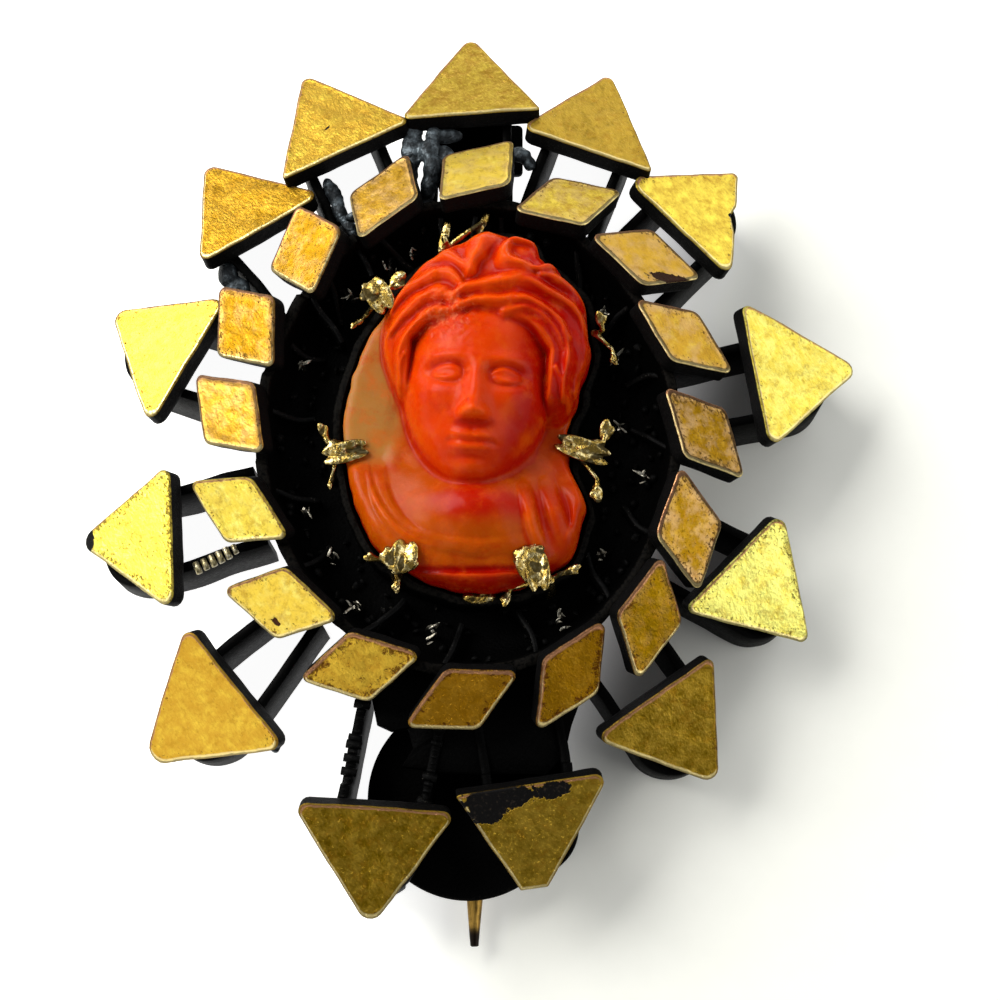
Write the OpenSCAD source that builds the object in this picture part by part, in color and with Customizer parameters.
// Cameo brooch: a carved coral head in a claw setting, in a black oval cup, with two rings
// of gilt plate studs on black strip loops, and a hinged pin under the back.
// It lies face up. +Z is up from the surface it lies on, and +Y is the top of the brooch.
// Lengths are in millimetres.

/* [Outline] */
// Width of the oval through the middles of the triangle studs
tri_ring_w = 30.8; // [28:0.2:34]
// Height of the oval through the middles of the triangle studs
tri_ring_h = 35.2; // [33:0.2:38]
// Width of the oval through the middles of the lozenge studs
loz_ring_w = 21.8; // [21.4:0.1:22.6]
// Height of the oval through the middles of the lozenge studs
loz_ring_h = 25.0; // [24.6:0.1:25.8]

/* [Triangle studs] */
// Length of the side that faces the middle of the brooch
tri_base = 7.2; // [6.4:0.1:7.4]
// Distance from that side to the outer point
tri_reach = 5.9; // [5:0.1:6.1]
// Height of the middle of the top face above the surface
tri_z = 4.6; // [4.3:0.1:5.2]
// Radius of the worn corners
tri_corner = 0.45; // [0.2:0.05:0.6]

/* [Lozenge studs] */
// Length of a side
loz_side = 3.45; // [3:0.05:3.6]
// Sharp corner angle of the lozenge in degrees
loz_angle = 62; // [56:1:70]
// Height of the middle of the top face above the surface
loz_z = 6.4; // [6.3:0.1:7]
// Radius of the worn corners
loz_corner = 0.3; // [0.15:0.05:0.45]

/* [Plate] */
// Thickness of the gilt plate that both kinds of stud are cut from
stud_t = 0.9; // [0.6:0.05:1]

/* [Gallery loops] */
// Width across the two arms of a loop
loop_w = 4.1; // [3:0.1:4.4]
// Thickness of the strip that stands on edge
strip_t = 0.45; // [0.35:0.05:0.6]
// Height of the arms' top edge above the surface
arm_top = 4.4; // [3.9:0.05:4.6]
// Gap between a strip and what it stands against
seat_gap = 0.03; // [0.02:0.01:0.06]

/* [Cup] */
// Width of the cup across its rim
cup_w = 19.6; // [19:0.1:20]
// Height of the cup, top to bottom of its oval rim
cup_h = 22.8; // [22.4:0.1:23.2]
// Thickness of the cup's wall and floor
cup_wall = 0.5; // [0.4:0.05:0.7]
// Height of the rim above the surface
cup_rim_z = 6.2; // [5.9:0.1:6.5]
// Height of the underside of the cup above the surface
cup_under_z = 3.3; // [3.1:0.1:3.6]

/* [Cameo] */
// Width of the carving
cameo_w = 11.4; // [10.8:0.1:12]
// Height of the carving
cameo_h = 16.4; // [15.8:0.1:17]
// Height of the carving's flat back above the surface
cameo_back_z = 4.9; // [4.7:0.1:5.3]
// Thickness of the carving's edge
cameo_edge_t = 1.2; // [1:0.1:1.5]
// Height that the head stands up from its back
cameo_relief = 5.6; // [4.5:0.1:6.2]

/* [Setting] */
// Thickness of the collet's wall
collet_t = 0.4; // [0.3:0.05:0.6]
// Clearance between the collet and the carving
collet_fit = 0.12; // [0.08:0.02:0.2]
// Width of a claw's leaf
claw_w = 1.05; // [0.8:0.05:1.3]
// Length of a claw's leaf
claw_l = 1.8; // [1.4:0.1:2.1]

/* [Pin and catch] */
// Diameter of the pin's stem
stem_d = 0.84; // [0.7:0.02:0.9]
// Height of the pin's middle above the surface
stem_z = 1.1; // [1.05:0.01:1.3]
// Distance of the pin to the right of the middle of the rings
pin_x = 0.3; // [0:0.05:0.5]
// Length of the pin that shows below the middle of the round plate
pin_past = 6.7; // [5.2:0.1:7]
// Place of the hinge above the middle of the rings
hinge_y = 15.4; // [14.6:0.1:15.8]
// Diameter of the round plate that carries the catch
disc_d = 9.3; // [8:0.1:9.8]
// Distance of the round plate's middle below the middle of the rings
disc_drop = 16.5; // [16:0.1:17]
// Thickness of the catch plate and of the hinge plate
plate_t = 0.45; // [0.35:0.05:0.5]
// Clearance between the pin and the catch's hook
hook_fit = 0.08; // [0.06:0.01:0.12]
// Thickness of the catch's hook
hook_t = 0.32; // [0.25:0.01:0.36]
// Diameter of the hinge's rivet
rivet_d = 0.5; // [0.4:0.02:0.56]
// Clearance between the hinge's rivet and the pin's eye
rivet_fit = 0.04; // [0.03:0.01:0.06]
// Tilt of the hinge's rivet, which swings the pin out sideways and clear of the hook
rivet_tilt = 45; // [40:1:50]

/* [Hidden] */
$fn = 32;

// The triangle studs, clockwise from the top. Columns: direction from the middle in degrees,
// distance as a share of the ring, turn about the stud's own middle, lean outward,
// lift above its neighbours as a share of the plate, share of the point that is worn off,
// length of the inner side and distance to the point as shares of the common ones, and
// sideways shift of the point
TRI = [
    [90, 1.005, 4, 27, 0, 0, 0.96, 1.02, -0.25],
    [69, 0.98, 1.5, 26, 0, 0, 0.95, 1.01, 0.3],
    [46, 0.965, -2, 25, 0, 0, 0.98, 0.92, 0.3],
    [12, 1.005, -2.5, 26, 0, 0, 1.02, 1.04, 0.1],
    [-28, 0.96, -17.5, 27, 0, 0, 0.93, 0.99, 0.15],
    [-55, 0.98, 0, 28, 0, 0, 0.93, 0.94, 0.25],
    [-80.5, 1.04, -1, 25, 0.9, 0.17, 0.97, 1.02, -0.4],
    [-102.5, 1.11, 9, 25, 0.9, 0, 1.03, 1, 0.05],
    [-133, 1.065, -7.5, 25, 0, 0, 1.03, 1.06, -0.2],
    [-162.5, 1.025, -13.5, 28, 0, 0, 0.98, 0.94, -0.4],
    [162.5, 0.98, -11, 24, 0, 0, 1.01, 0.98, -0.55],
    [133.5, 0.965, -12.5, 24, 0, 0, 0.96, 0.98, 0.35],
    [113, 0.995, 3, 24, 0, 0, 0.97, 1.05, 0.05]
];

// The lozenge studs, clockwise from the top. Columns: direction from the middle in degrees,
// distance as a share of the ring, turn about the stud's own middle, lean outward, and what
// its sharp corner adds to the common angle
LOZ = [
    [88.5, 1.015, 15, 32, 14],
    [67, 0.99, 10, 31, 5],
    [45, 1.015, -1, 30, 4],
    [24, 0.99, 5, 31, 0],
    [-1, 1, 15, 31, 5],
    [-25, 1, 5, 29, 2],
    [-47, 1.03, 9, 30, -2],
    [-68, 1.005, 10, 28, -6],
    [-91, 0.995, 0, 28, -5],
    [-113.5, 0.985, 6, 27, -2],
    [-136, 1.01, 3, 29, -2],
    [-160, 1.005, 12, 30, -2],
    [176, 1.01, 13, 28, 6],
    [154.5, 1.03, 26, 30, 10],
    [131.5, 0.99, 27, 31, 14],
    [109.5, 0.985, 18, 32, 6]
];

// Turn of each loop against its own stud, in degrees, clockwise from the top
LOOP_TURN = [-4, -0.5, 2.5, 2.5, 16, -0.5, -0.5, -7.5, 7.5, 13, 10, 8, -3.5];

// Outline of the carving, counter-clockwise, as a change to the oval of its width and height.
// Columns: direction in degrees, and distance from the middle as a share of the oval's, both
// taken with the oval drawn as a circle
CAMEO_OUTLINE = [
    [-180, 1.01], [-165, 1.015], [-150, 1.035], [-135, 1.04], [-118, 0.99], [-104, 0.97],
    [-90, 0.985], [-75, 1.01], [-64, 1.055], [-55, 1.09], [-44, 1.145], [-30, 1.095],
    [-17, 0.855], [-4, 0.805], [8, 0.915], [22, 1.08], [36, 1.16], [46, 1.115], [54, 1.09],
    [60, 1.125], [68, 1.09], [80, 1.05], [95, 0.98], [108, 0.945], [122, 0.94], [138, 0.925],
    [158, 0.96], [180, 1.01]
];

// Broad masses of the carving, the highest of which shows. Columns: place across and up as
// shares of half the width and half the height, half breadth and half height as the same
// shares, turn in degrees, height as a share of the relief, and roundness of its crown
MASSES = [
    [0.10, -0.62, 0.95, 0.42, -4, 0.42, 0.5],
    [0.12, -0.34, 0.42, 0.36, -4, 0.56, 0.5],
    [0.08, 0.22, 0.66, 0.70, -5, 0.92, 0.5],
    [-0.22, 0.46, 0.50, 0.44, 24, 0.86, 0.5],
    [0.42, 0.56, 0.56, 0.42, -20, 0.92, 0.5],
    [0.22, 0.74, 0.66, 0.34, 0, 0.84, 0.5],
    [-0.40, 0.16, 0.26, 0.40, -8, 0.62, 0.5],
    [0.68, 0.20, 0.30, 0.44, 6, 0.62, 0.5]
];

// Smaller swells and hollows that are added to the masses. Columns as above, with the
// height below zero for a hollow
SWELLS = [
    [0.08, 0.16, 0.11, 0.22, -5, 0.12, 1],
    [0.08, 0.36, 0.34, 0.06, -5, 0.05, 1],
    [-0.16, 0.24, 0.17, 0.08, -5, -0.09, 1],
    [0.32, 0.26, 0.17, 0.08, -5, -0.09, 1],
    [0.10, -0.10, 0.22, 0.05, -5, 0.06, 1],
    [0.11, -0.26, 0.20, 0.08, -5, 0.06, 1],
    [-0.30, 0.62, 0.30, 0.06, 35, 0.06, 1],
    [0.55, 0.66, 0.30, 0.06, -35, 0.06, 1],
    [0.15, 0.80, 0.34, 0.05, 5, 0.05, 1],
    [-0.45, -0.66, 0.12, 0.34, 30, 0.06, 1],
    [0.55, -0.62, 0.12, 0.34, -24, 0.07, 1],
    [0.05, -0.66, 0.50, 0.05, 0, 0.04, 1]
];

// Direction of each claw from the carving's middle, in degrees
CLAWS = [-165, -114, -64, -17, 36, 97, 127];

// The run of solder. Columns: distance to the right of the middle, place on the way from the
// lozenges' ring to the top triangle as a share, and radius
SOLDER = [
    [-1.65, 0, 0.35],
    [-1.8, 0.45, 0.5],
    [-1.75, 0.96, 0.4]
];

// Middle of the whole brooch, pin included, measured from the middle of the rings
middle_x = 0.15;
middle_y = -1.15;
// Middle of the carving measured from the middle of the rings
cameo_y = 0.5;

// Steps of the ovals and of the round corners, and spokes and rings of the carving
oval_steps = 48;
corner_steps = 4;
cameo_spokes = 72;
cameo_rings = 20;
far = 60;

// The pin's eye: wall round its hole, radius, and half its length along the rivet
eye_wall = 0.3;
rivet_r = rivet_d / 2;
eye_r = rivet_r + rivet_fit + eye_wall;
eye_half = 0.36;
// The pin's length from its hinge to its point, the length of its tapered end, and that
// end's share of the stem's diameter
stem_l = hinge_y + disc_drop + pin_past;
tip_l = 2.8;
tip_share = 0.45;

// The hinge: its plate's width and length, the width of the neck that runs in from it to the
// cup, room over the rivet's middle, and the lugs' thickness, gap to the eye and length before
// the plate's top cuts them
hinge_w = 4.6;
hinge_l = 2.6;
hinge_neck_w = 3.6;
hinge_room = 0.72;
hinge_under_z = stem_z + hinge_room;
lug_t = 0.28;
lug_gap = 0.06;
lug_l = 3;

// The catch: room over the pin under the round plate, and the hook's radius, length, share of
// the plate's diameter that it stands below the middle, and the two ends of its mouth
disc_room = 0.2;
disc_under_z = stem_z + stem_d / 2 + disc_room;
hook_r = stem_d / 2 + hook_fit;
hook_l = 1.4;
hook_share = 0.3;
hook_y = -disc_drop - disc_d * hook_share;
hook_mouth_from = -107;
hook_mouth_to = 28;

// How far inward of a triangle's middle the lift of a raised loop reaches, as a share
lift_share = 0.45;
// Clearance between the cup's notches and the lozenges that lie in them
notch_fit = 0.06;

// The setting: share of the carving's edge that the collet covers, width of the ledge under
// it, thickness of a leaf, its gap to the carving, and the ears' radius and reach to the side
collet_share = 0.75;
collet_top_z = cameo_back_z + cameo_edge_t * collet_share;
ledge_w = 0.7;
leaf_t = 0.4;
leaf_gap = 0.05;
ear_r = 0.4;
ear_reach = 1.15;

cup_floor_z = cup_under_z + cup_wall;
cup_middle_z = (cup_rim_z + cup_under_z) / 2;
// How far the wall leans in, how far in the floor begins, and how far in it ends at the
// opening behind the carving
cup_flare = 0.3;
cup_round = 1.7;
cup_reach = 5.5;

function oval_reach(w, h, a) = (w / 2) * (h / 2) / norm([h / 2 * cos(a), w / 2 * sin(a)]);
function oval(w, h) = [for (i = [0:oval_steps - 1])
    let (a = 360 * i / oval_steps) [w / 2 * cos(a), h / 2 * sin(a)]];

// Distance of a triangle stud's middle from the middle of the rings
function tri_distance(i) = oval_reach(tri_ring_w, tri_ring_h, TRI[i][0]) * TRI[i][1];

// Corners of a convex outline, each rounded to the radius r
function rounded(points, r) = [for (i = [0:len(points) - 1])
    let (
        n = len(points),
        here = points[i],
        to_last = points[(i + n - 1) % n] - here,
        to_next = points[(i + 1) % n] - here,
        a = to_last / norm(to_last),
        b = to_next / norm(to_next),
        half = acos(a * b) / 2,
        middle = here + (a + b) / norm(a + b) * r / sin(half),
        start = here + a * r / tan(half) - middle,
        from = atan2(start[1], start[0])
    )
    for (k = [0:corner_steps]) let (t = from + (180 - 2 * half) * k / corner_steps)
        middle + r * [cos(t), sin(t)]];

function tri_outline(i) = let (
        worn = TRI[i][5],
        half = tri_base * TRI[i][6] / 2,
        reach = tri_reach * TRI[i][7],
        slip = TRI[i][8],
        back = -reach / 3,
        front = reach * (2 / 3 - worn),
        tip = half * worn,
        right = -half - slip / 2,
        left = half - slip / 2
    )
    tip > tri_corner
        ? rounded([[back, left], [back, right], [front, slip - tip], [front, slip + tip]], tri_corner)
        : rounded([[back, left], [back, right], [front, slip]], tri_corner);

function loz_outline(i, grow = 0) = let (
        s = loz_side / 2 + grow,
        angle = loz_angle + LOZ[i][4],
        up = s * sin(angle),
        slip = s * cos(angle)
    )
    rounded([[up, s - slip], [-up, s + slip], [-up, -s + slip], [up, -s - slip]], loz_corner);

// The place of a stud's top face: x runs outward, y counter-clockwise
module stud_place(ring_w, ring_h, angle, share, turn, lean, z) {
    reach = oval_reach(ring_w, ring_h, angle) * share;
    translate([reach * cos(angle), reach * sin(angle), z])
        rotate([0, 0, angle + turn])
            rotate([0, lean, 0])
                children();
}

module tri_place(i) {
    t = TRI[i];
    stud_place(tri_ring_w, tri_ring_h, t[0], t[1], t[2], t[3], tri_z + t[4] * stud_t) children();
}

module loz_place(i) {
    l = LOZ[i];
    stud_place(loz_ring_w, loz_ring_h, l[0], l[1], l[2], l[3], loz_z) children();
}

module placed() {
    translate([-middle_x, -middle_y, 0]) children();
}

module triangle_stud(i) {
    color("goldenrod") placed() tri_place(i)
        translate([0, 0, -stud_t]) linear_extrude(stud_t) polygon(tri_outline(i));
}

module lozenge_stud(i) {
    color("darkgoldenrod") placed() loz_place(i)
        translate([0, 0, -stud_t]) linear_extrude(stud_t) polygon(loz_outline(i));
}

// The strip loop under one triangle stud, seen from above, with arms of the length l
module loop_outline(l) {
    difference() {
        union() {
            circle(d = loop_w);
            translate([-l, -loop_w / 2]) square([l, loop_w]);
        }
        circle(d = loop_w - 2 * strip_t);
        translate([-2 * l, -loop_w / 2 + strip_t]) square([2 * l, loop_w - 2 * strip_t]);
    }
}

// Everything above the underside of a triangle stud
module above_triangle(i) {
    tri_place(i) translate([-far / 2, -far / 2, -stud_t - seat_gap]) cube(far);
}

// The space round the cup's outside that the loops keep clear of
module cup_space() {
    translate([0, 0, -1]) linear_extrude(far) polygon(oval(cup_w + 2 * seat_gap, cup_h + 2 * seat_gap));
}

// The space under the top loop's arms, which the hinge plate and the pin's swing need
module hinge_space() {
    top = hinge_under_z + plate_t + seat_gap;
    translate([-loop_w, 0, -1]) cube([2 * loop_w, hinge_y + hinge_l / 2 + seat_gap, top + 1]);
}

// The space under the two bottom loops that the round plate and the pin's swing need
module disc_space() {
    top = disc_under_z + plate_t + seat_gap;
    translate([0, -disc_drop, -1]) cylinder(h = top + 1, d = disc_d + 2 * seat_gap, $fn = 64);
    translate([-disc_d / 2, -disc_drop, -1]) cube([disc_d, disc_drop, top + 1]);
}

// A loop on edge, its round end under the stud and its arms running in to the cup
module gallery_loop(i) {
    t = TRI[i];
    reach = tri_distance(i);
    arm_l = reach - oval_reach(cup_w, cup_h, t[0]) + loop_w / 4;
    color("dimgray") placed() difference() {
        translate([reach * cos(t[0]), reach * sin(t[0]), 0])
            rotate([0, 0, t[0] + t[2] + LOOP_TURN[i]]) {
                linear_extrude(arm_top) loop_outline(arm_l);
                if (t[4] > 0) linear_extrude(arm_top + t[4] * stud_t) intersection() {
                    loop_outline(arm_l);
                    translate([-tri_reach * lift_share, -loop_w]) square(2 * loop_w);
                }
            }
        above_triangle(i);
        cup_space();
        if (i == 0) hinge_space();
        if (t[4] > 0) disc_space();
    }
}

// A closed band round an oval. The profile lists points that go round its section, each the
// distance outside the rim's oval, and the height
module oval_band(w, h, profile) {
    n = len(profile);
    points = [for (i = [0:oval_steps - 1]) for (p = profile)
        let (a = 360 * i / oval_steps)
            [(w / 2 + p[0]) * cos(a), (h / 2 + p[0]) * sin(a), p[1]]];
    faces = [for (i = [0:oval_steps - 1]) for (k = [0:n - 1])
        let (j = (i + 1) % oval_steps, m = (k + 1) % n)
            each [[i * n + k, i * n + m, j * n + m], [i * n + k, j * n + m, j * n + k]]];
    polyhedron(points, faces);
}

// The black cup, its floor open behind the carving
module cup() {
    color("#26231f") placed() difference() {
        oval_band(cup_w, cup_h, [
            [0, cup_rim_z], [-cup_flare, cup_middle_z], [-cup_round, cup_under_z],
            [-cup_reach, cup_under_z], [-cup_reach, cup_floor_z], [-cup_round, cup_floor_z],
            [-cup_flare - cup_wall, cup_middle_z], [-cup_wall, cup_rim_z]
        ]);
        for (i = [0:len(LOZ) - 1]) loz_place(i)
            translate([0, 0, -stud_t - seat_gap]) linear_extrude(far) polygon(loz_outline(i, notch_fit));
    }
}

function blend(a, b, t) = a + (b - a) * t;
function smooth(t) = t * t * (3 - 2 * t);

// Distance from the carving's middle to its outline in the direction a
function outline_reach(a) = let (
        round = atan2(sin(a) / cameo_h, cos(a) / cameo_w),
        k = max([for (i = [0:len(CAMEO_OUTLINE) - 2]) if (CAMEO_OUTLINE[i][0] <= round) i]),
        low = CAMEO_OUTLINE[k],
        high = CAMEO_OUTLINE[k + 1],
        share = blend(low[1], high[1], smooth((round - low[0]) / (high[0] - low[0])))
    )
    share * oval_reach(cameo_w, cameo_h, a);
function outline_point(a, grow) = (outline_reach(a) + grow) * [cos(a), sin(a)];

// Height of one row of a table at the point p
function swell(row, p) = let (
        dx = p[0] - row[0] * cameo_w / 2,
        dy = p[1] - row[1] * cameo_h / 2,
        u = (dx * cos(row[4]) + dy * sin(row[4])) / (row[2] * cameo_w / 2),
        v = (dy * cos(row[4]) - dx * sin(row[4])) / (row[3] * cameo_h / 2)
    )
    row[5] * cameo_relief * pow(max(0, 1 - u * u - v * v), row[6]);

function sum(list, i = 0) = i < len(list) ? list[i] + sum(list, i + 1) : 0;

// Height of the carving above its back at the point p
function carving_height(p) = let (
        masses = max([for (row = MASSES) swell(row, p)]),
        lift = smooth(min(1, masses / cameo_edge_t / 2))
    )
    max(cameo_edge_t, masses) + lift * sum([for (row = SWELLS) swell(row, p)]);

SPOKES = [for (i = [0:cameo_spokes - 1]) 360 * i / cameo_spokes - 180];

module cameo() {
    ends = [for (a = SPOKES) outline_point(a, 0)];
    top = [for (e = ends) for (k = [1:cameo_rings])
        let (p = e * k / cameo_rings)
            [p[0], p[1], k == cameo_rings ? cameo_edge_t : carving_height(p)]];
    last = cameo_spokes * cameo_rings;
    back = [for (e = ends) [e[0], e[1], 0]];
    points = concat(top, back, [[0, 0, carving_height([0, 0])], [0, 0, 0]]);
    faces = [for (i = [0:cameo_spokes - 1]) let (
            j = (i + 1) % cameo_spokes,
            here = i * cameo_rings,
            next = j * cameo_rings,
            edge = cameo_rings - 1
        )
        each concat(
            [[last + cameo_spokes, next, here]],
            [for (k = [0:edge - 1]) each [
                [here + k, next + k, next + k + 1], [here + k, next + k + 1, here + k + 1]]],
            [[here + edge, next + edge, last + j], [here + edge, last + j, last + i]],
            [[last + cameo_spokes + 1, last + i, last + j]]
        )];
    color("orangered") placed() translate([0, cameo_y, cameo_back_z]) polyhedron(points, faces);
}

// Height of a claw's leaf: over the highest point of the carving that it reaches
function leaf_height(a) = let (
        reach = outline_reach(a),
        under = [for (along = [-claw_l / 2, -claw_l / 4, 0], side = [-claw_w / 2, 0, claw_w / 2])
            let (r = reach + along)
                carving_height([r * cos(a) - side * sin(a), r * sin(a) + side * cos(a)])]
    )
    cameo_back_z + max(max(under), cameo_edge_t) + leaf_gap;

// One claw's stalk up the collet, with its two ears
module claw_stalk(a) {
    rotate([0, 0, a]) translate([outline_reach(a), 0, 0]) {
        translate([0, -claw_w / 2, cup_floor_z + seat_gap])
            cube([collet_fit + collet_t, claw_w, leaf_height(a) + leaf_t - cup_floor_z - seat_gap]);
        for (side = [-1, 1]) translate([ear_r + collet_fit, side * ear_reach, leaf_height(a) - ear_r]) {
            sphere(ear_r, $fn = 14);
            rotate([90 * side, 0, 0]) cylinder(h = ear_reach, r = ear_r / 2, $fn = 14);
        }
    }
}

// The leaf of a claw, folded over the carving's edge
module claw_leaf(a) {
    rotate([0, 0, a]) translate([outline_reach(a) - claw_l / 2, -claw_w / 2, leaf_height(a)])
        cube([claw_l / 2 + collet_fit + collet_t, claw_w, leaf_t]);
}

module cameo_setting() {
    inner = [for (a = SPOKES) outline_point(a, collet_fit)];
    outer = [for (a = SPOKES) outline_point(a, collet_fit + collet_t)];
    ledge = [for (a = SPOKES) outline_point(a, -ledge_w)];
    color("gold") placed() translate([0, cameo_y, 0]) {
        difference() {
            union() {
                translate([0, 0, cup_floor_z + seat_gap])
                    linear_extrude(collet_top_z - cup_floor_z - seat_gap) polygon(outer);
                for (a = CLAWS) claw_stalk(a);
            }
            translate([0, 0, cameo_back_z - seat_gap]) linear_extrude(far) polygon(inner);
            linear_extrude(far, center = true) polygon(ledge);
        }
        for (a = CLAWS) claw_leaf(a);
    }
}

// The old repair: a run of solder down between the top studs
module solder_repair() {
    lean = TRI[0][3];
    tri_edge = tri_distance(0) - tri_reach * TRI[0][7] / 3 * cos(lean) - stud_t * sin(lean);
    end = tri_edge - SOLDER[len(SOLDER) - 1][2] - 2 * seat_gap;
    color("slategray") placed() hull() {
        for (s = SOLDER) translate([s[0], blend(loz_ring_h / 2, end, s[1]), arm_top + seat_gap + s[2]])
            sphere(s[2], $fn = 14);
    }
}

// The round plate at the bottom of the back, with the hook that holds the pin's point
module catch_plate() {
    reach = hook_r + hook_t;
    color("#26231f") placed() {
        translate([0, -disc_drop, disc_under_z]) cylinder(h = plate_t, d = disc_d, $fn = 64);
        translate([pin_x, hook_y, 0]) {
            translate([0, 0, stem_z]) rotate([90, 0, 0]) difference() {
                cylinder(h = hook_l, r = reach, center = true);
                cylinder(h = 2 * hook_l, r = hook_r, center = true);
                for (turn = [hook_mouth_from, hook_mouth_to - 90]) rotate([0, 0, turn])
                    translate([0, 0, -hook_l]) cube([2 * reach, 2 * reach, 2 * hook_l]);
            }
            translate([-reach, -hook_l / 2, stem_z])
                cube([hook_t, hook_l, disc_under_z - stem_z + plate_t / 2]);
        }
    }
}

// The hinge's own frame: its middle is the rivet's, and z runs along the rivet
module hinge_place() {
    translate([pin_x, hinge_y, stem_z]) rotate([0, 90 - rivet_tilt, 0]) children();
}

// The hinge: a plate under the top loop with a neck to the cup, two lugs and the rivet
module hinge_plate() {
    lug_at = eye_half + lug_gap;
    neck_y = cup_h / 2 + seat_gap;
    color("#26231f") placed() difference() {
        union() {
            translate([pin_x - hinge_w / 2, hinge_y - hinge_l / 2, hinge_under_z])
                cube([hinge_w, hinge_l, plate_t]);
            translate([pin_x - hinge_neck_w / 2, neck_y, hinge_under_z])
                cube([hinge_neck_w, hinge_y - neck_y, plate_t]);
            hinge_place() {
                cylinder(h = 2 * (lug_at + lug_t), r = rivet_r, center = true);
                for (low = [-lug_at - lug_t, lug_at]) translate([0, 0, low]) {
                    cylinder(h = lug_t, r = eye_r);
                    translate([-lug_l, -eye_r, 0]) cube([lug_l, 2 * eye_r, lug_t]);
                }
            }
        }
        translate([-far / 2, -far / 2, hinge_under_z + plate_t]) cube(far);
    }
}

module pin_stem() {
    color("darkgoldenrod") placed() {
        difference() {
            union() {
                hinge_place() cylinder(h = 2 * eye_half, r = eye_r, center = true);
                translate([pin_x, hinge_y, stem_z]) rotate([90, 0, 0]) {
                    cylinder(h = stem_l - tip_l, d = stem_d);
                    translate([0, 0, stem_l - tip_l])
                        cylinder(h = tip_l, d1 = stem_d, d2 = stem_d * tip_share);
                }
            }
            hinge_place() cylinder(h = 4 * eye_half, r = rivet_r + rivet_fit, center = true);
        }
    }
}

for (i = [0:len(TRI) - 1]) {
    number = str(i + 1 < 10 ? "0" : "", i + 1);
    triangle_stud(i);
    gallery_loop(i);
}
for (i = [0:len(LOZ) - 1]) {
    number = str(i + 1 < 10 ? "0" : "", i + 1);
    lozenge_stud(i);
}
cup();
cameo();
cameo_setting();
solder_repair();
catch_plate();
hinge_plate();
pin_stem();
